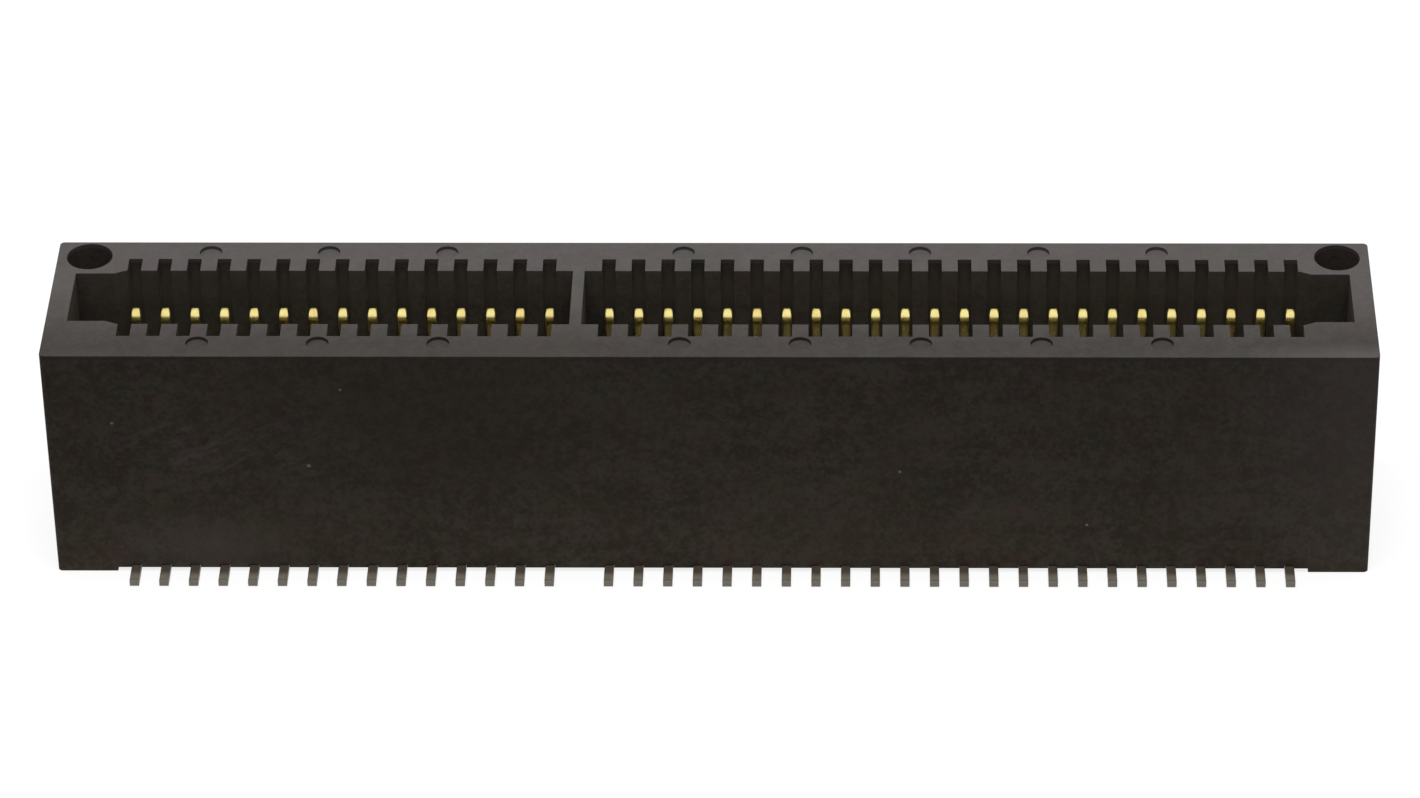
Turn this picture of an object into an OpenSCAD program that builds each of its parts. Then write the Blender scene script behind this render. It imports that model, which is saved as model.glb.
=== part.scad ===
/* [Contact rows] */
// Distance from one contact to the next along a row
pitch = 0.635; // [0.6:0.005:0.8]
// Contact positions in each row, with the key's own
positions = 40; // [30:1:50]
// Position that the key takes in place of two contacts, counted from the left
key_position = 16; // [6:1:25]

/* [Card] */
// Thickness of the card that the slot takes
card_t = 1.6; // [1.5:0.02:1.7]
// Play between the card and each side of the end pockets
card_play = 0.1; // [0.05:0.01:0.15]
// Thickness of the key web that enters the notch in the card
key_w = 0.25; // [0.15:0.01:0.33]

/* [Housing] */
// From the middle of the slot to the front face
front_w = 2.22; // [2.15:0.01:3]
// From the middle of the slot to the rear face
rear_w = 2.1; // [2.06:0.01:3]
// Height of the housing above the board
body_h = 5.6; // [5.2:0.05:8]
// From the middle of the last contact to the end face
end_l = 1.69; // [1.65:0.01:3]
// Radius of the upright corners
corner_r = 0.1; // [0.04:0.01:0.25]
// Thickness of the end walls beside the end pockets
end_wall = 0.455; // [0.35:0.005:0.7]
// How much the slot widens at each side along the contacts
slot_step = 0.11; // [0.05:0.01:0.14]
// Wide part of the slot past the middle of the last contact
slot_past = 0.18; // [0.16:0.01:0.3]
// Length of the ramp from the wide part to the end pocket
ramp_l = 0.24; // [0.1:0.01:0.4]
// Thickness of the floor under the card
floor_t = 1.2; // [1:0.05:1.6]
// Width of a contact channel along the row
channel_w = 0.29; // [0.24:0.01:0.34]
// Depth of a contact channel behind the side of the slot
channel_d = 0.45; // [0.4:0.01:0.55]

/* [Housing underside] */
// Length of the standoff at each end
standoff_l = 1.29; // [0.8:0.01:1.45]
// Height of the standoffs under the housing
standoff_h = 0.1; // [0.05:0.01:0.2]

/* [Mould marks] */
// Diameter of the core holes in the rear corners
hole_d = 0.98; // [0.7:0.01:1.05]
// From the end face to the middle of a core hole
hole_inset = 0.685; // [0.65:0.005:0.9]
// Wall between a core hole and the rear face
hole_wall = 0.065; // [0.04:0.005:0.1]
// Depth of the core holes
hole_depth = 2; // [0.5:0.1:4]
// Diameter of the ejector pin marks
mark_d = 0.48; // [0.3:0.01:0.52]
// Depth of the ejector pin marks
mark_depth = 0.08; // [0.02:0.01:0.2]
// Land between an ejector pin mark and the ends of the channels
mark_land = 0.02; // [0.01:0.01:0.08]
// Position of the first ejector pin mark, between two contacts
mark_first = 3.5; // [2.5:1:5.5]
// Positions from one ejector pin mark to the next
mark_step = 4; // [3:1:6]

/* [Contact strip] */
// Thickness of the strip
strip_t = 0.15; // [0.1:0.01:0.18]
// Width of the strip
strip_w = 0.2; // [0.14:0.01:0.23]
// How far the solder foot stands out past the front face
foot_out = 0.56; // [0.3:0.01:0.9]
// Room at each side of the foot in its way out under the wall
foot_play = 0.015; // [0.01:0.005:0.03]
// Inside radius of the bend between the foot and the stem
heel_r = 0.08; // [0.05:0.01:0.15]
// Room above the foot in its way out under the wall
foot_room = 0.015; // [0.01:0.005:0.1]

/* [Contact barbs] */
// Barbs on each side of the stem
barbs = 2; // [1:1:2]
// Distance from one barb to the next
barb_pitch = 0.32; // [0.28:0.01:0.36]
// Upright part of a barb that bites into the channel
barb_land = 0.08; // [0.04:0.01:0.12]
// Sloping part of a barb above its upright part
barb_ramp = 0.14; // [0.08:0.01:0.16]
// From the top of the barbs to the floor of the slot
barb_below = 0.1; // [0.05:0.01:0.2]

/* [Contact spring] */
// How far the card pushes each contact aside
travel = 0.15; // [0.08:0.01:0.2]
// From the top of the housing down to the crest of the spring
crest_drop = 1.1; // [1:0.01:2]
// Inside radius of the bend at the crest
crest_r = 0.1; // [0.06:0.005:0.15]
// From the floor of the slot up to the start of the beam's bend
root_rise = 0.1; // [0:0.05:0.5]
// Inside radius of the bend at the root of the beam
root_r = 0.9; // [0.5:0.05:1.5]
// How far the strip turns back over the crest, from upright
hook_angle = 74; // [55:1:88]
// Straight length past the hook
hook_l = 0.03; // [0.02:0.01:0.25]
// Width of the strip at the top of the hook
tip_w = 0.17; // [0.1:0.01:0.2]
// Height over which the strip narrows to its tip
tip_h = 0.1; // [0.04:0.01:0.15]
// Room in the floor for the crest when the contact is pushed in from below
crest_room = 0.12; // [0.05:0.01:0.2]

/* [Hidden] */
$fn = 64;
eps = 0.05;
bend_step = 12;

row_l = (positions - 1) * pitch;
body_l = row_l + 2 * end_l;
body_w = front_w + rear_w;
pocket_w = card_t + 2 * card_play;
slot_w = pocket_w + 2 * slot_step;
floor_z = standoff_h + floor_t;
channel_y = slot_w / 2 + channel_d;

// Half of the gap between two facing contacts
crest_y = card_t / 2 - travel;
crest_z = body_h - crest_drop;
window_y = crest_y - crest_room;
notch_h = strip_t + foot_room;
foot_y = front_w + foot_out;
// Beyond every contact, for cuts and blanks that reach past it
reach_y = foot_y + eps;

filled = [for (n = [1 : positions]) if (n != key_position) n];
mark_last = positions + 1 - mark_first;
marks = [for (n = [mark_first : mark_step : mark_last]) if (abs(n - key_position) > 1) n];

function position_x(n) = (n - (positions + 1) / 2) * pitch;
function pair_name(n) = str("contact_pair_", n < 10 ? "0" : "", n);

// Points of an arc about c, from angle a to angle b
function arc(c, r, a, b) =
    let (steps = ceil(abs(b - a) / bend_step))
    [for (i = [0 : steps]) c + r * [cos(a + (b - a) * i / steps), sin(a + (b - a) * i / steps)]];

function reversed(list) = [for (i = [len(list) - 1 : -1 : 0]) list[i]];

// The strip runs from the foot through three bends: heel, root and crest
heel_c = [channel_y + heel_r, strip_t + heel_r];
root_c = [channel_y - strip_t - root_r, floor_z + root_rise];
crest_c = [crest_y + strip_t + crest_r, crest_z];

// Lean of the beam, whose middle line touches the root bend on one side and the crest bend on the other
rise = crest_c - root_c;
lean = atan2(rise.y, rise.x) - acos((root_r + crest_r + strip_t) / norm(rise));

// One face of the strip, as points from the foot to the tip: depth 0 faces the slot and depth 1 the wall
function strip_face(depth) =
    let (near = (1 - depth) * strip_t, far = depth * strip_t)
    let (crest = arc(crest_c, crest_r + near, 180 + lean, 180 - hook_angle))
    concat(
        [[foot_y, far]],
        arc(heel_c, heel_r + near, -90, -180),
        arc(root_c, root_r + far, 0, lean),
        crest,
        [crest[len(crest) - 1] + hook_l * [sin(hook_angle), cos(hook_angle)]]
    );

strip_side = concat(strip_face(0), reversed(strip_face(1)));
tip_z = max([for (p = strip_side) p.y]);

// Right edge of the flat blank, from the foot to the tip, as [half width, height]
function barb_edge(k) =
    let (z = floor_z - barb_below - barb_land - barb_ramp - k * barb_pitch)
    [
        [strip_w / 2, z],
        [channel_w / 2, z],
        [channel_w / 2, z + barb_land],
        [strip_w / 2, z + barb_land + barb_ramp]
    ];

blank_edge = concat(
    [[strip_w / 2, -eps]],
    [for (k = [barbs - 1 : -1 : 0]) each barb_edge(k)],
    [[strip_w / 2, tip_z - tip_h], [tip_w / 2, tip_z]]
);
blank = concat(blank_edge, reversed([for (p = blank_edge) [-p.x, p.y]]));

// Stands a profile up, with its x along the depth and its y upright, and gives it a width along the row
module across_row(width) {
    rotate([90, 0, 90])
        linear_extrude(width, center = true)
            children();
}

// A contact of the rear row at the middle of the housing
module contact() {
    intersection() {
        across_row(2 * channel_w)
            polygon(strip_side);
        translate([0, reach_y, 0])
            rotate([90, 0, 0])
                linear_extrude(reach_y)
                    polygon(blank);
    }
}

// The two facing contacts of one position
module contact_pair(n) {
    color("gold")
        translate([position_x(n), 0, 0]) {
            contact();
            mirror([0, 1, 0])
                contact();
        }
}

module body_outline() {
    translate([0, (rear_w - front_w) / 2]) {
        square([body_l - 2 * corner_r, body_w], center = true);
        square([body_l, body_w - 2 * corner_r], center = true);
        for (x = [-1, 1]) {
            for (y = [-1, 1]) {
                translate([x * (body_l / 2 - corner_r), y * (body_w / 2 - corner_r)])
                    circle(corner_r);
            }
        }
    }
}

// Plan of the card slot: wide along the contacts, narrow in the end pockets, and parted by the key web
module slot_outline() {
    wide_x = row_l / 2 + slot_past;
    narrow_x = wide_x + ramp_l;
    pocket_x = body_l / 2 - end_wall;
    quarter = [[wide_x, slot_w / 2], [narrow_x, pocket_w / 2], [pocket_x, pocket_w / 2]];
    right = concat(quarter, reversed([for (p = quarter) [p.x, -p.y]]));
    left = [for (p = right) -p];
    difference() {
        polygon(concat(right, left));
        translate([position_x(key_position), 0])
            square([key_w, slot_w], center = true);
    }
}

// Space of one rear contact: a channel from top to bottom, and the way out for its foot under the wall,
// which slopes up over the heel
module channel() {
    across_row(channel_w)
        polygon([
            [window_y, -eps],
            [channel_y, -eps],
            [channel_y, body_h + eps],
            [window_y, body_h + eps]
        ]);
    across_row(strip_w + 2 * foot_play)
        polygon([
            [window_y, -eps],
            [reach_y, -eps],
            [reach_y, notch_h],
            [channel_y + heel_r, notch_h],
            [channel_y, notch_h + heel_r],
            [window_y, notch_h + heel_r]
        ]);
}

module channels() {
    for (n = filled) {
        translate([position_x(n), 0, 0]) {
            channel();
            mirror([0, 1, 0])
                channel();
        }
    }
}

module core_holes() {
    hole_x = body_l / 2 - hole_inset;
    hole_y = rear_w - hole_wall - hole_d / 2;
    for (x = [-hole_x, hole_x]) {
        translate([x, hole_y, body_h - hole_depth])
            cylinder(h = hole_depth + eps, d = hole_d);
    }
}

module ejector_marks() {
    mark_y = channel_y + mark_land + mark_d / 2;
    for (n = marks) {
        for (y = [-mark_y, mark_y]) {
            translate([position_x(n), y, body_h - mark_depth])
                cylinder(h = mark_depth + eps, d = mark_d);
        }
    }
}

module housing() {
    color([0.2, 0.19, 0.18])
        difference() {
            linear_extrude(body_h)
                body_outline();
            translate([0, 0, floor_z])
                linear_extrude(body_h)
                    slot_outline();
            translate([standoff_l - body_l / 2, -reach_y, -eps])
                cube([body_l - 2 * standoff_l, 2 * reach_y, standoff_h + eps]);
            channels();
            core_holes();
            ejector_marks();
        }
}

housing();
for (n = filled) {
    contact_pair(n);
}
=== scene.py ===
import math

import bmesh
import bpy
from mathutils import Matrix, Vector

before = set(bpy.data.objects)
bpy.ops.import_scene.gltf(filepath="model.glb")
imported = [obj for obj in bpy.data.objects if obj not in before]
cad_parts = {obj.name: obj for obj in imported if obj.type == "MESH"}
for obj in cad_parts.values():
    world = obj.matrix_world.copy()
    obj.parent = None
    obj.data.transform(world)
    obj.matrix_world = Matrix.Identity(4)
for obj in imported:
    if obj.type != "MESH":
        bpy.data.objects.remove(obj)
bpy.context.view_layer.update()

# Objects are in metres; places in the materials are in millimetres of the part's frame
MM = 0.001

# Camera of the photograph
IMAGE_W, IMAGE_H = 1420, 798
SENSOR_W = 36.0
FOCAL_PX = 6132.16
CENTRE_PX = (835.76, 406.79)
CAMERA_POS = Vector((3.4966, -107.908, 78.755)) * MM
ELEVATION, YAW, ROLL = (math.radians(a) for a in (35.153, 0.456, -0.2))
CLIP_START, CLIP_END = 0.01, 10

# Share of a soft patch's radius that is at full strength
PATCH_CORE = 0.2

# Black glass-filled plastic; a range is the part of a noise over which something changes
# The darker grain colour, also laid on as painted shade on the front face
PLASTIC_DARK_AND_SHADE = (0.048, 0.041, 0.0345, 1)
PLASTIC_LIGHT = (0.079, 0.0698, 0.0615, 1)
PLASTIC_WARM = (0.073, 0.06, 0.049, 1)
PLASTIC_SHINE = 0.06
# Layers of the grain: lengths along the axes, clouds to a length, detail, roughness and share
GRAIN = (
    ((1, 1, 1), 1.1, 4, 0.6, 0.25),
    ((4, 1, 0.8), 1.3, 3, 0.5, 0.15),
    ((1, 1, 1), 4, 2, 0.5, 0.27),
    ((1, 1, 1), 11, 2, 0.5, 0.33),
)
GRAIN_RANGE = (0.43, 0.57)
GRAIN_BUMP = 0.5
GRAIN_RELIEF = 0.004 * MM
ROUGH_RANGE = (0.3, 0.7)
ROUGH_DARK, ROUGH_LIGHT = 0.68, 0.5
WARM_CLOUDS, WARM_RANGE = 0.45, (0.45, 0.75)
WARM_SHARE = 0.5
TINT_OLIVE = (0.95, 1.03, 0.94, 1)
TINT_RED = (1.06, 0.96, 0.99, 1)
TINT_CLOUDS, TINT_RANGE = 1.4, (0.35, 0.65)

# Painted sheen on the top face: a paler colour, darker in front of the slot than behind it
TOP_Z = 5.5
TOP_SHEEN_FRONT = (0.048, 0.0446, 0.0437, 1)
TOP_SHEEN_REAR = (0.1065, 0.1, 0.1015, 1)
TOP_FRONT_Y, TOP_REAR_Y = -1.7, 0.3
TOP_SHEEN_SHARE = 0.65
TOP_TINT = 0.4

# Painted light in the slot: a paler colour that lifts its shade; each pair is its share at the top of
# the slot and at the crests
SLOT_PAINTED_LIGHT = (0.2, 0.177, 0.147, 1)
SLOT_LOW, SLOT_HIGH = (-13.65, -1.5, 1.35), (13.65, 1.5, TOP_Z)
RIB_Y, CHANNEL_Y = 1.05, 1.35
CREST_Z = 4.7
RIB_PAINTED_LIGHT = (0.22, 0.1)
CHANNEL_PAINTED_LIGHT = (0.0, 0.75)

# Zones on the front face: middle and radii
FRONT_Y = -2.22
RUBBED_ZONE = ((-10.4, FRONT_Y, 3.2), (3.4, 0.6, 1.1))
HAZY_ZONE = ((-10.9, FRONT_Y, 0.5), (2.3, 0.6, 1.2))
# Painted light: the right end of the front face made paler
PAINTED_LIGHT_ZONE = ((14.2, FRONT_Y, 4.4), (3.6, 0.6, 5.5))
# Painted shade: the upper part of the front face, left of the middle, made darker
PAINTED_SHADE_ZONE = ((-6, FRONT_Y, 4.2), (4.5, 0.6, 3))
# Colour of the scuffs, also laid on as painted light at the right end of the front face
SCUFF_AND_PAINTED_LIGHT_COLOUR = (0.14, 0.122, 0.12, 1)
SCUFF_SHARE = 0.75
HAZE_SHARE = 0.45
PAINTED_LIGHT_SHARE = 0.45
PAINTED_SHADE_SHARE = 0.5
STREAK_LENGTHS = (1.2, 1, 0.28)
STREAK_TURN = math.radians(-25)
STREAK_CLOUDS, STREAK_RANGE = 1.6, (0.5, 0.72)

# Paler rounded edges, more where the grain is light
EDGE_COLOUR = (0.11, 0.1, 0.092, 1)
EDGE_R = 0.02 * MM
EDGE_RANGE = (0.4, 0.6)
EDGE_LEAST, EDGE_MOST = 0.1, 0.6
# Cosine between the rounded and the flat normal where the paling starts and where it is full
PALING_STARTS, PALING_FULL = 0.995, 0.8

# Dust specks on the front face: along the row, upright and radius
SPECK_COLOUR = (0.32, 0.3, 0.27, 1)
SPECKS = (
    (-8.54, 2.78, 0.06),
    (-12.65, 3.88, 0.05),
    (-7.78, 4.75, 0.04),
    (4.01, 2.64, 0.045),
    (8.01, 1.25, 0.045),
)

# Plated contact strip: gold at the top, tin on the foot, darker brown near the wall, and bare at the
# cut end
GOLD = (0.97, 0.85, 0.34, 1)
GOLD_DEEP = (0.88, 0.68, 0.24, 1)
GOLD_RANGE = (0.4, 0.7)
GOLD_ROUGH_LEAST, GOLD_ROUGH_MOST = 0.26, 0.34
GOLD_FROM_Z = 1.5
GOLD_FADE = 0.05
TIN = (0.305, 0.285, 0.245, 1)
TIN_DULL = (0.245, 0.225, 0.19, 1)
TIN_RANGE = (0.35, 0.65)
TIN_ROUGHER = 0.2
TIN_METALLIC = 0.45
TIN_FROM_Y, TIN_FULL_Y = 2.43, 2.6
FOOT_NEAR_WALL = (0.118, 0.095, 0.072, 1)
CUT = (0.2, 0.185, 0.155, 1)
CUT_FROM_Y = 2.72
PLATING_CLOUDS = 3
PLATING_WAVER = 0.1
# Fine lines along the strip, left by drawing
DRAWN_LENGTHS = (0.08, 0.5, 0.5)
DRAWN_RANGE = (0.3, 0.7)
DRAWN_BUMP = 0.05
DRAWN_RELIEF = 0.002 * MM
# Rounding of the strip: its edges as shape, and its crown in the shading alone
STRIP_EDGE = 0.02 * MM
STRIP_CROWN = 0.055 * MM
SHARP_ANGLE = math.radians(40)
WELD_DISTANCE = 1e-7

# Studio, with the lamps and the floor's size in metres
WHITE = (1, 1, 1, 1)
WARM = (1, 0.9, 0.78, 1)
AMBIENT = 0.1
LAMP_SIZE = 0.2
OVERHEAD_PLACE, OVERHEAD_WATTS = (0, -0.03, 0.3), 1.0
REAR_PLACE, REAR_WATTS = (0, 0.34, 0.1), 0.27
FLOOR_Z = -0.01 * MM
FLOOR_HALF = 0.6
FLOOR_LIT = (0.2, 0.2, 0.2, 1)
FLOOR_GLOW = 0.83
NEAR_BOUNCE = (0.95, 0.84, 0.69, 1)
FAR_BOUNCE = (0.05, 0.045, 0.04, 1)
MIDDLE = (0, 0, 0)
NEAR_RADII = (40, 6, 1)
SHADOW_RADII = (150, 150, 1)
# Floor that the housing hides from the light
UNDER_LOW, UNDER_HIGH = (-13.9, -2.08, -1), (13.9, 1.96, 1)


def add(tree, kind, inputs=None, **settings):
    """A new shader node; each input is a value or the socket that feeds it."""
    node = tree.nodes.new("ShaderNode" + kind)
    for key, value in settings.items():
        setattr(node, key, value)
    for key, value in (inputs or {}).items():
        if isinstance(value, bpy.types.NodeSocket):
            tree.links.new(value, node.inputs[key])
        else:
            node.inputs[key].default_value = value
    return node


def math_node(tree, operation, a, b=0.0, c=0.0):
    return add(tree, "Math", {0: a, 1: b, 2: c}, operation=operation).outputs[0]


def times(tree, a, b):
    return math_node(tree, "MULTIPLY", a, b)


def larger(tree, a, b):
    return math_node(tree, "MAXIMUM", a, b)


def span(tree, value, low, high, to_low=0.0, to_high=1.0):
    """Maps a value from low and high to the two ends of another range, and holds it there."""
    inputs = {0: value, 1: low, 2: high, 3: to_low, 4: to_high}
    return add(tree, "MapRange", inputs).outputs[0]


def mix(tree, factor, a, b, blend="MIX"):
    """Mixes two colours, which are inputs 6 and 7 and output 2 of the node."""
    node = add(tree, "Mix", {0: factor, 6: a, 7: b}, data_type="RGBA", blend_type=blend)
    return node.outputs[2]


def noise(tree, points, scale, detail=2.0, rough=0.5):
    """Soft clouds about 0.5, with scale of them to a unit of the points."""
    inputs = {"Vector": points, "Scale": scale, "Detail": detail, "Roughness": rough}
    return add(tree, "TexNoise", inputs).outputs["Fac"]


def stretched(tree, points, lengths, turn=0.0):
    """The same points measured in other lengths along each axis, after a turn about the depth."""
    inputs = {"Vector": points, "Scale": lengths, "Rotation": (0, turn, 0)}
    return add(tree, "Mapping", inputs, vector_type="TEXTURE").outputs["Vector"]


def patch(tree, points, centre, radii):
    """A soft mask that is 1 about a centre and 0 at the rim of an ellipsoid."""
    moved = add(tree, "VectorMath", {0: points, 1: centre}, operation="SUBTRACT").outputs[0]
    scaled = add(tree, "VectorMath", {0: moved, 1: radii}, operation="DIVIDE").outputs[0]
    away = add(tree, "VectorMath", {0: scaled}, operation="LENGTH").outputs["Value"]
    return span(tree, away, 1.0, PATCH_CORE)


def inside_box(tree, points, low, high):
    """1 inside a box and 0 outside it."""
    place = add(tree, "SeparateXYZ", {0: points})
    mask = 1.0
    for axis, least, most in zip("XYZ", low, high):
        above = math_node(tree, "GREATER_THAN", place.outputs[axis], least)
        below = math_node(tree, "LESS_THAN", place.outputs[axis], most)
        mask = times(tree, times(tree, above, below), mask)
    return mask


def empty_material(name):
    """A material with its tree and the object's points in millimetres."""
    material = bpy.data.materials.new(name)
    material.use_nodes = True
    tree = material.node_tree
    tree.nodes.clear()
    place = add(tree, "TexCoord").outputs["Object"]
    points = add(tree, "VectorMath", {0: place, "Scale": 1 / MM}, operation="SCALE").outputs[0]
    return material, tree, points


def add_surface(tree, inputs):
    surface = add(tree, "BsdfPrincipled", inputs)
    add(tree, "OutputMaterial", {"Surface": surface.outputs[0]})


def blotches(tree, points):
    """The grain of the filled plastic, from broad clouds down to fine spots, about 0.5."""
    total = 0.0
    for lengths, clouds, detail, rough, share in GRAIN:
        layer = noise(tree, stretched(tree, points, lengths), clouds, detail, rough)
        total = math_node(tree, "MULTIPLY_ADD", layer, share, total)
    return total


def on_top(tree, points):
    height = add(tree, "SeparateXYZ", {0: points}).outputs["Z"]
    return math_node(tree, "GREATER_THAN", height, TOP_Z)


# Painted sheen: the top face's colour, paler behind the slot than in front of it
def painted_top_sheen(tree, points):
    depth = add(tree, "SeparateXYZ", {0: points}).outputs["Y"]
    return mix(tree, span(tree, depth, TOP_FRONT_Y, TOP_REAR_Y), TOP_SHEEN_FRONT, TOP_SHEEN_REAR)


def moulded_colour_and_sheen(tree, points, grain):
    """The plastic's colour: its grain, warmer clouds, a painted sheen on the top face and a tint that
    wanders.
    """
    warmth = noise(tree, points, WARM_CLOUDS)
    hue = noise(tree, points, TINT_CLOUDS, detail=3)
    top = on_top(tree, points)
    colour = mix(tree, span(tree, grain, *GRAIN_RANGE), PLASTIC_DARK_AND_SHADE, PLASTIC_LIGHT)
    colour = mix(tree, span(tree, warmth, *WARM_RANGE, 0, WARM_SHARE), colour, PLASTIC_WARM)
    # Lays the painted sheen over the top face
    colour = mix(tree, times(tree, top, TOP_SHEEN_SHARE), colour, painted_top_sheen(tree, points))
    tint = mix(tree, span(tree, hue, *TINT_RANGE), TINT_OLIVE, TINT_RED)
    return mix(tree, span(tree, top, 0, 1, 1, TOP_TINT), colour, tint, "MULTIPLY")


def slot_painted_light(tree, points):
    """Share of the painted light in the slot: thin on the ribs, and stronger with depth in the
    channels.
    """
    place = add(tree, "SeparateXYZ", {0: points})
    aside = math_node(tree, "ABSOLUTE", place.outputs["Y"])
    on_ribs = span(tree, place.outputs["Z"], TOP_Z, CREST_Z, *RIB_PAINTED_LIGHT)
    in_channels = span(tree, place.outputs["Z"], TOP_Z, CREST_Z, *CHANNEL_PAINTED_LIGHT)
    share = span(tree, aside, RIB_Y, CHANNEL_Y, on_ribs, in_channels)
    return times(tree, share, inside_box(tree, points, SLOT_LOW, SLOT_HIGH))


def edge_turn(tree, rounded):
    """1 where the rounded normal leaves the flat one."""
    flat = add(tree, "NewGeometry").outputs["Normal"]
    agree = add(tree, "VectorMath", {0: rounded, 1: flat}, operation="DOT_PRODUCT").outputs["Value"]
    return span(tree, agree, PALING_STARTS, PALING_FULL)


def scuffs(tree, points):
    """Faint rubbed streaks near the left end of the front face, and a haze below them."""
    along = stretched(tree, points, STREAK_LENGTHS, STREAK_TURN)
    streaks = noise(tree, along, STREAK_CLOUDS, detail=4, rough=0.6)
    rubbed = times(tree, patch(tree, points, *RUBBED_ZONE), span(tree, streaks, *STREAK_RANGE))
    haze = times(tree, patch(tree, points, *HAZY_ZONE), HAZE_SHARE)
    return larger(tree, rubbed, haze)


def specks(tree, points):
    """1 on the few dust specks of the front face."""
    mask = 0.0
    for x, z, radius in SPECKS:
        speck = patch(tree, points, (x, FRONT_Y, z), (radius, radius, radius))
        mask = larger(tree, speck, mask)
    return mask


def used_colour(tree, points, grain, rounded, colour):
    """The colour with each mark laid over the ones before it: marks of use, paler edges, painted
    light and painted shade.
    """
    # Painted light at the right end of the front face
    painted_light = times(tree, patch(tree, points, *PAINTED_LIGHT_ZONE), PAINTED_LIGHT_SHARE)
    # Painted shade on the upper front face, left of the middle
    painted_shade = times(tree, patch(tree, points, *PAINTED_SHADE_ZONE), PAINTED_SHADE_SHARE)
    edge_paling = span(tree, grain, *EDGE_RANGE, EDGE_LEAST, EDGE_MOST)
    marks = (
        # Painted light that lifts the shade in the slot
        (slot_painted_light(tree, points), SLOT_PAINTED_LIGHT),
        (painted_light, SCUFF_AND_PAINTED_LIGHT_COLOUR),
        (painted_shade, PLASTIC_DARK_AND_SHADE),
        (times(tree, edge_turn(tree, rounded), edge_paling), EDGE_COLOUR),
        (times(tree, scuffs(tree, points), SCUFF_SHARE), SCUFF_AND_PAINTED_LIGHT_COLOUR),
        (specks(tree, points), SPECK_COLOUR),
    )
    for share, mark_colour in marks:
        colour = mix(tree, share, colour, mark_colour)
    return colour


def housing_material():
    material, tree, points = empty_material("housing_plastic")
    grain = blotches(tree, points)
    rounded = add(tree, "Bevel", {"Radius": EDGE_R}, samples=4).outputs[0]
    relief = {"Strength": GRAIN_BUMP, "Distance": GRAIN_RELIEF, "Height": grain, "Normal": rounded}
    base_and_sheen = moulded_colour_and_sheen(tree, points, grain)
    add_surface(tree, {
        "Base Color": used_colour(tree, points, grain, rounded, base_and_sheen),
        "Roughness": span(tree, grain, *ROUGH_RANGE, ROUGH_DARK, ROUGH_LIGHT),
        "Specular IOR Level": PLASTIC_SHINE,
        "Normal": add(tree, "Bump", relief).outputs[0],
    })
    return material


def plating_colour(tree, place, cloud, waver, plated):
    """Gold where the strip is plated with it; below, darker brown near the wall, then tin, then the
    cut end.
    """
    depth = math_node(tree, "ABSOLUTE", place.outputs["Y"])
    outward = math_node(tree, "ADD", depth, waver)
    gold = mix(tree, span(tree, cloud, *GOLD_RANGE), GOLD, GOLD_DEEP)
    tin = mix(tree, span(tree, cloud, *TIN_RANGE), TIN, TIN_DULL)
    foot = mix(tree, span(tree, outward, TIN_FROM_Y, TIN_FULL_Y), FOOT_NEAR_WALL, tin)
    foot = mix(tree, math_node(tree, "GREATER_THAN", depth, CUT_FROM_Y), foot, CUT)
    return mix(tree, plated, foot, gold)


def contact_material():
    material, tree, points = empty_material("contact_plating")
    place = add(tree, "SeparateXYZ", {0: points})
    cloud = noise(tree, points, PLATING_CLOUDS, detail=4, rough=0.6)
    drawn = noise(tree, stretched(tree, points, DRAWN_LENGTHS), scale=1)
    waver = span(tree, cloud, 0, 1, -PLATING_WAVER, PLATING_WAVER)
    height = math_node(tree, "ADD", place.outputs["Z"], waver)
    plated = span(tree, height, GOLD_FROM_Z - GOLD_FADE, GOLD_FROM_Z + GOLD_FADE)
    polish = span(tree, drawn, *DRAWN_RANGE, GOLD_ROUGH_LEAST, GOLD_ROUGH_MOST)
    crowned = add(tree, "Bevel", {"Radius": STRIP_CROWN}, samples=8).outputs[0]
    relief = {"Strength": DRAWN_BUMP, "Distance": DRAWN_RELIEF, "Height": drawn, "Normal": crowned}
    add_surface(tree, {
        "Base Color": plating_colour(tree, place, cloud, waver, plated),
        "Metallic": span(tree, plated, 0, 1, TIN_METALLIC, 1),
        "Roughness": math_node(tree, "ADD", polish, span(tree, plated, 0, 1, TIN_ROUGHER, 0)),
        "Normal": add(tree, "Bump", relief).outputs[0],
    })
    return material


def seen_rays(tree):
    """1 for the rays that show the background: straight, mirrored or passed through."""
    path = add(tree, "LightPath")
    seen = larger(tree, path.outputs["Is Camera Ray"], path.outputs["Is Glossy Ray"])
    return larger(tree, seen, path.outputs["Is Transmission Ray"])


def floor_material():
    """White to the eye apart from the part's shadow.

    The light that it sends on is warm near the part and faint beyond.
    """
    material, tree, points = empty_material("studio_floor")
    bounce = mix(tree, patch(tree, points, MIDDLE, NEAR_RADII), FAR_BOUNCE, NEAR_BOUNCE)
    sent_on = add(tree, "BsdfDiffuse", {"Color": bounce})
    lit = add(tree, "BsdfDiffuse", {"Color": FLOOR_LIT})
    straight = add(tree, "LightPath").outputs["Is Camera Ray"]
    # Painted shadow: under the housing the floor's glow is taken away for the camera
    under = times(tree, inside_box(tree, points, UNDER_LOW, UNDER_HIGH), straight)
    near = patch(tree, points, MIDDLE, SHADOW_RADII)
    strength = times(tree, span(tree, near, 0, 1, 1, FLOOR_GLOW), span(tree, under, 0, 1, 1, 0))
    glow = add(tree, "Emission", {"Color": WHITE, "Strength": strength})
    white = add(tree, "AddShader", {0: lit.outputs[0], 1: glow.outputs[0]})
    shown = add(tree, "MixShader", {0: seen_rays(tree), 1: sent_on.outputs[0], 2: white.outputs[0]})
    add(tree, "OutputMaterial", {"Surface": shown.outputs[0]})
    return material


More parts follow.
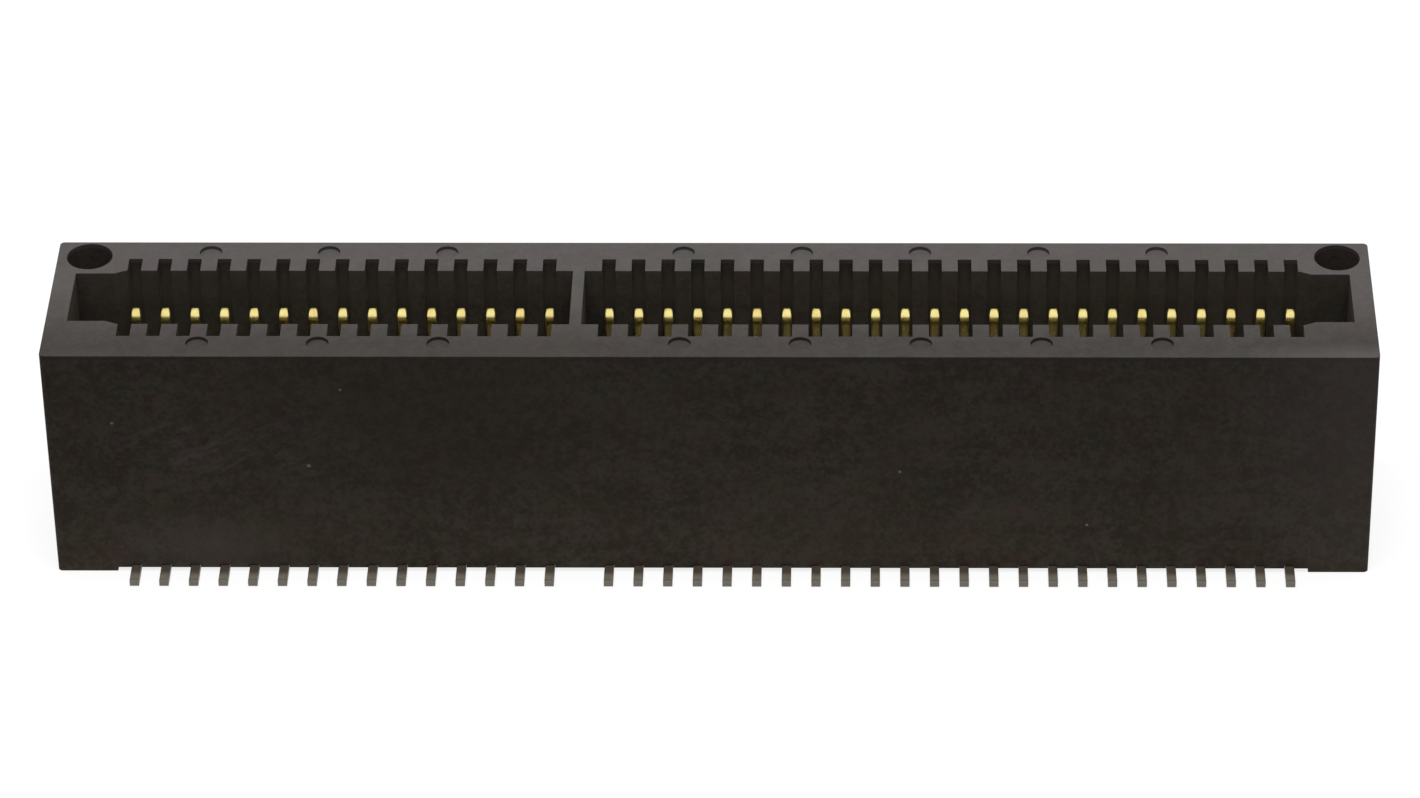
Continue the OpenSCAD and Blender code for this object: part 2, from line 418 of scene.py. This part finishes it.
def make_floor():
    mesh = bpy.data.meshes.new("floor")
    shape = bmesh.new()
    bmesh.ops.create_grid(shape, x_segments=1, y_segments=1, size=FLOOR_HALF)
    shape.to_mesh(mesh)
    shape.free()
    floor = bpy.data.objects.new("floor", mesh)
    floor.location.z = FLOOR_Z
    mesh.materials.append(floor_material())
    bpy.context.scene.collection.objects.link(floor)


def make_world():
    world = bpy.data.worlds.new("studio")
    bpy.context.scene.world = world
    world.use_nodes = True
    tree = world.node_tree
    tree.nodes.clear()
    seen = seen_rays(tree)
    colour = mix(tree, seen, WARM, WHITE)
    glow = add(tree, "Background", {"Color": colour, "Strength": span(tree, seen, 0, 1, AMBIENT, 1)})
    add(tree, "OutputWorld", {"Surface": glow.outputs[0]})


def softbox(name, place, watts):
    """A square area light that faces the middle of the part."""
    light = bpy.data.lights.new(name, "AREA")
    light.size = LAMP_SIZE
    light.energy = watts
    lamp = bpy.data.objects.new(name, light)
    lamp.location = place
    lamp.rotation_euler = (-Vector(place)).to_track_quat("-Z", "Y").to_euler()
    # Metal mirrors the white surroundings and not the lamp
    lamp.visible_glossy = False
    bpy.context.scene.collection.objects.link(lamp)


def make_camera():
    back = Vector((
        math.sin(YAW) * math.cos(ELEVATION),
        -math.cos(YAW) * math.cos(ELEVATION),
        math.sin(ELEVATION),
    ))
    level = (-back).cross(Vector((0, 0, 1))).normalized()
    steep = level.cross(-back)
    right = math.cos(ROLL) * level + math.sin(ROLL) * steep
    up = math.cos(ROLL) * steep - math.sin(ROLL) * level
    data = bpy.data.cameras.new("camera")
    data.sensor_width = SENSOR_W
    data.lens = FOCAL_PX * SENSOR_W / IMAGE_W
    data.shift_x = (IMAGE_W / 2 - CENTRE_PX[0]) / IMAGE_W
    data.shift_y = (CENTRE_PX[1] - IMAGE_H / 2) / IMAGE_W
    data.clip_start = CLIP_START
    data.clip_end = CLIP_END
    camera = bpy.data.objects.new("camera", data)
    turn = Matrix((right, up, back)).transposed().to_4x4()
    camera.matrix_world = Matrix.Translation(CAMERA_POS) @ turn
    bpy.context.scene.collection.objects.link(camera)
    bpy.context.scene.camera = camera


def dress(node, material):
    node.data.materials.clear()
    node.data.materials.append(material)


def round_edges(node):
    """Rounds the stamped edges of a strip, once its corners are joined."""
    weld = node.modifiers.new("weld", "WELD")
    weld.merge_threshold = WELD_DISTANCE
    bevel = node.modifiers.new("rounded", "BEVEL")
    bevel.width = STRIP_EDGE
    bevel.segments = 3
    bevel.limit_method = "ANGLE"
    bevel.angle_limit = SHARP_ANGLE


plastic = housing_material()
plating = contact_material()
for name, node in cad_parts.items():
    if name == "housing":
        dress(node, plastic)
    else:
        dress(node, plating)
        round_edges(node)

make_floor()
make_world()
softbox("overhead", OVERHEAD_PLACE, OVERHEAD_WATTS)
softbox("rear", REAR_PLACE, REAR_WATTS)
make_camera()

bpy.context.scene.view_settings.view_transform = "Standard"
